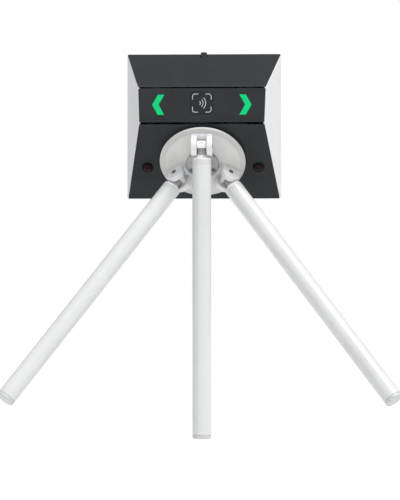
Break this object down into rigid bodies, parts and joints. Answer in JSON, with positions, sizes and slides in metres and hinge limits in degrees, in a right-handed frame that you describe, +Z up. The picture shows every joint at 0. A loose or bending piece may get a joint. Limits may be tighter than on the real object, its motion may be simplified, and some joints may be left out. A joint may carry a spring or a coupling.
{
  "type": "tripod turnstile head",
  "caption": "Wall-mounted tripod turnstile head with wedge housing, reader band, inclined rotating hub and hinged drop arms.",
  "frame": {"origin": "centre of the back mounting face, on the wall plane", "axes": "+Z up, +Y into the wall, -Y to the front, +X to the viewer's right when facing the front"},
  "size_m": [0.6782, 0.2652, 0.6841],
  "materials": {
    "arm_block": "satin powder coat",
    "arm_cap": "moulded satin",
    "arm_white": "satin powder coat",
    "back_steel": "machined or brushed",
    "bearing_chrome": "polished",
    "bezel_black": "moulded satin",
    "block_aluminium": "machined",
    "board_green": "moulded satin",
    "cam_steel": "machined or brushed",
    "cap_grey": "machined or brushed",
    "chassis_steel": "machined or brushed",
    "clevis_grey": "satin powder coat",
    "coil_black": "moulded satin",
    "damper_black": "moulded satin",
    "front_grey": "satin powder coat",
    "gear_white": "moulded satin",
    "gland_rubber": "moulded matt",
    "hub_cover": "satin powder coat",
    "lens_green": "smooth",
    "lens_red": "smooth",
    "lever_steel": "machined or brushed",
    "lock_chrome": "polished",
    "lock_dark": "satin powder coat",
    "pin_steel": "machined or brushed",
    "pinion_brass": "machined",
    "plunger_steel": "machined or brushed",
    "roller_black": "moulded satin",
    "screw_steel": "machined or brushed",
    "sensor_black": "moulded satin",
    "shaft_steel": "machined or brushed",
    "side_white": "satin powder coat",
    "spring_steel": "machined or brushed",
    "window_black": "smooth"
  },
  "bodies": {
    "housing": {"arrow_lens_left": "lens_green", "arrow_lens_right": "lens_green", "back_plate": "back_steel", "bearing_block": "block_aluminium", "bearing_front": "bearing_chrome", "bearing_rear": "bearing_chrome", "cable_gland": "gland_rubber", "chassis": "chassis_steel", "control_board": "board_green", "damper_body": "damper_black", "index_spring": "spring_steel", "led_board_left": "board_green", "led_board_right": "board_green", "left_side_panel": "side_white", "lock_body": "lock_dark", "lower_front_panel": "front_grey", "optical_sensor": "sensor_black", "reader_band": "front_grey", "reader_board": "board_green", "reader_window": "window_black", "right_side_panel": "side_white", "sensor_bezel_left": "bezel_black", "sensor_bezel_right": "bezel_black", "sensor_lens_left": "lens_red", "sensor_lens_right": "lens_red", "solenoid_left": "coil_black", "solenoid_right": "coil_black", "upper_front_panel": "front_grey"},
    "rotor": {"hub_shaft": "shaft_steel", "index_cam": "cam_steel", "drive_gear": "gear_white", "hub_disc": "hub_cover", "hub_cap": "cap_grey", "hub_screw_1": "screw_steel", "hub_screw_2": "screw_steel", "hub_screw_3": "screw_steel", "clevis_1": "clevis_grey", "clevis_2": "clevis_grey", "clevis_3": "clevis_grey"},
    "arm_1": {"arm_block_1": "arm_block", "arm_tube_1": "arm_white", "arm_cap_1": "arm_cap", "pivot_pin_1": "pin_steel"},
    "arm_2": {"arm_block_2": "arm_block", "arm_tube_2": "arm_white", "arm_cap_2": "arm_cap", "pivot_pin_2": "pin_steel"},
    "arm_3": {"arm_block_3": "arm_block", "arm_tube_3": "arm_white", "arm_cap_3": "arm_cap", "pivot_pin_3": "pin_steel"},
    "lock_barrel": {"lock_barrel": "lock_chrome"},
    "damper_rotor": {"damper_pinion": "pinion_brass"},
    "plunger_left": {"plunger_left": "plunger_steel"},
    "plunger_right": {"plunger_right": "plunger_steel"},
    "index_lever": {"index_lever": "lever_steel"},
    "index_roller": {"index_roller": "roller_black"}
  },
  "joints": [
    {"name": "hub_spin", "type": "hinge", "parent": "housing", "child": "rotor", "pos_m": [0, -0.0723, -0.06303], "axis": [0, -0.7431, -0.6691], "continuous": true},
    {"name": "arm_1_fold", "type": "hinge", "parent": "rotor", "child": "arm_1", "pos_m": [0, -0.12262, -0.04375], "axis": [1, 0, 0], "range_deg": [-88.5, 0]},
    {"name": "arm_2_fold", "type": "hinge", "parent": "rotor", "child": "arm_2", "pos_m": [-0.04157, -0.07445, -0.09726], "axis": [-0.5, -0.5795, 0.6436], "range_deg": [0, 40.5]},
    {"name": "arm_3_fold", "type": "hinge", "parent": "rotor", "child": "arm_3", "pos_m": [0.04157, -0.07445, -0.09726], "axis": [-0.5, 0.5795, -0.6436], "range_deg": [0, 40.5]},
    {"name": "lock_turn", "type": "hinge", "parent": "housing", "child": "lock_barrel", "pos_m": [0, -0.012, 0.12], "axis": [0, 0, -1], "range_deg": [0, 90]},
    {"name": "damper_spin", "type": "hinge", "parent": "housing", "child": "damper_rotor", "pos_m": [-0.04555, -0.09444, -0.03844], "axis": [0, -0.7431, -0.6691], "continuous": true},
    {"name": "plunger_left_slide", "type": "slide", "parent": "housing", "child": "plunger_left", "axis": [1, 0, 0], "range_m": [0, 0.003], "stiffness_N_per_m": 200},
    {"name": "plunger_right_slide", "type": "slide", "parent": "housing", "child": "plunger_right", "axis": [-1, 0, 0], "range_m": [0, 0.003], "stiffness_N_per_m": 200},
    {"name": "index_lever_swing", "type": "hinge", "parent": "housing", "child": "index_lever", "pos_m": [0.056, -0.04687, -0.09127], "axis": [0, -0.7431, -0.6691], "range_deg": [0, 8], "stiffness_Nm_per_rad": 0.6, "springref_deg": -22.92},
    {"name": "index_roller_spin", "type": "hinge", "parent": "index_lever", "child": "index_roller", "pos_m": [0.0286, -0.05316, -0.08428], "axis": [0, -0.7431, -0.6691], "continuous": true}
  ],
  "couplings": [
    {"joint": "damper_spin", "follows": "hub_spin", "ratio": -2.5}
  ]
}
